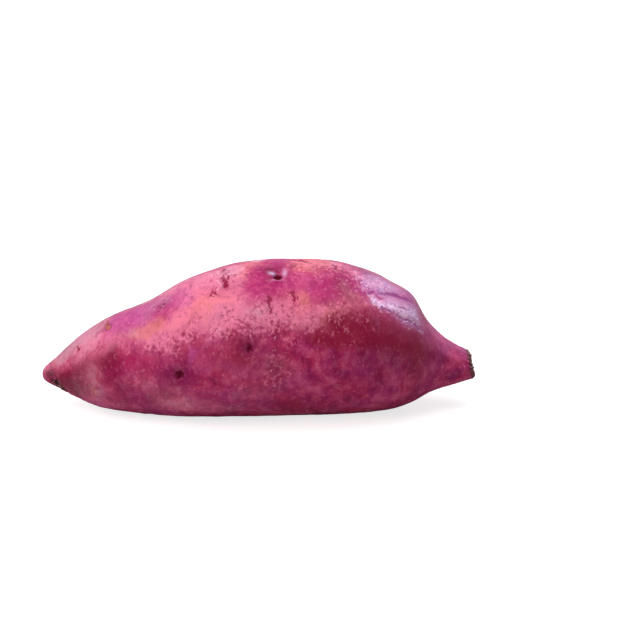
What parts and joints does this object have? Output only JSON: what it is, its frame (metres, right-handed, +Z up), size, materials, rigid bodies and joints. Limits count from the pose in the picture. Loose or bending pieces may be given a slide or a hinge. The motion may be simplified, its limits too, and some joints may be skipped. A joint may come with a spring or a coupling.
{
  "type": "sweet potato",
  "caption": "Whole sweet potato lying on its belly: a tapering storage root with a blunt root tip, a snapped stem end, an eye pit and shallow root scars.",
  "frame": {"origin": "on the surface that the root lies on, under the middle of its bounding box", "axes": "+Z up from the belly; +X along the root from the thin root tip to the stem end; -Y is the front, the side with the two deepest root scars"},
  "size_m": [0.194, 0.0712, 0.0684],
  "materials": {
    "skin": "natural waxy root skin, magenta and purple, mottled, satin"
  },
  "bodies": {
    "root": {"sweet_potato": "skin"}
  },
  "joints": []
}
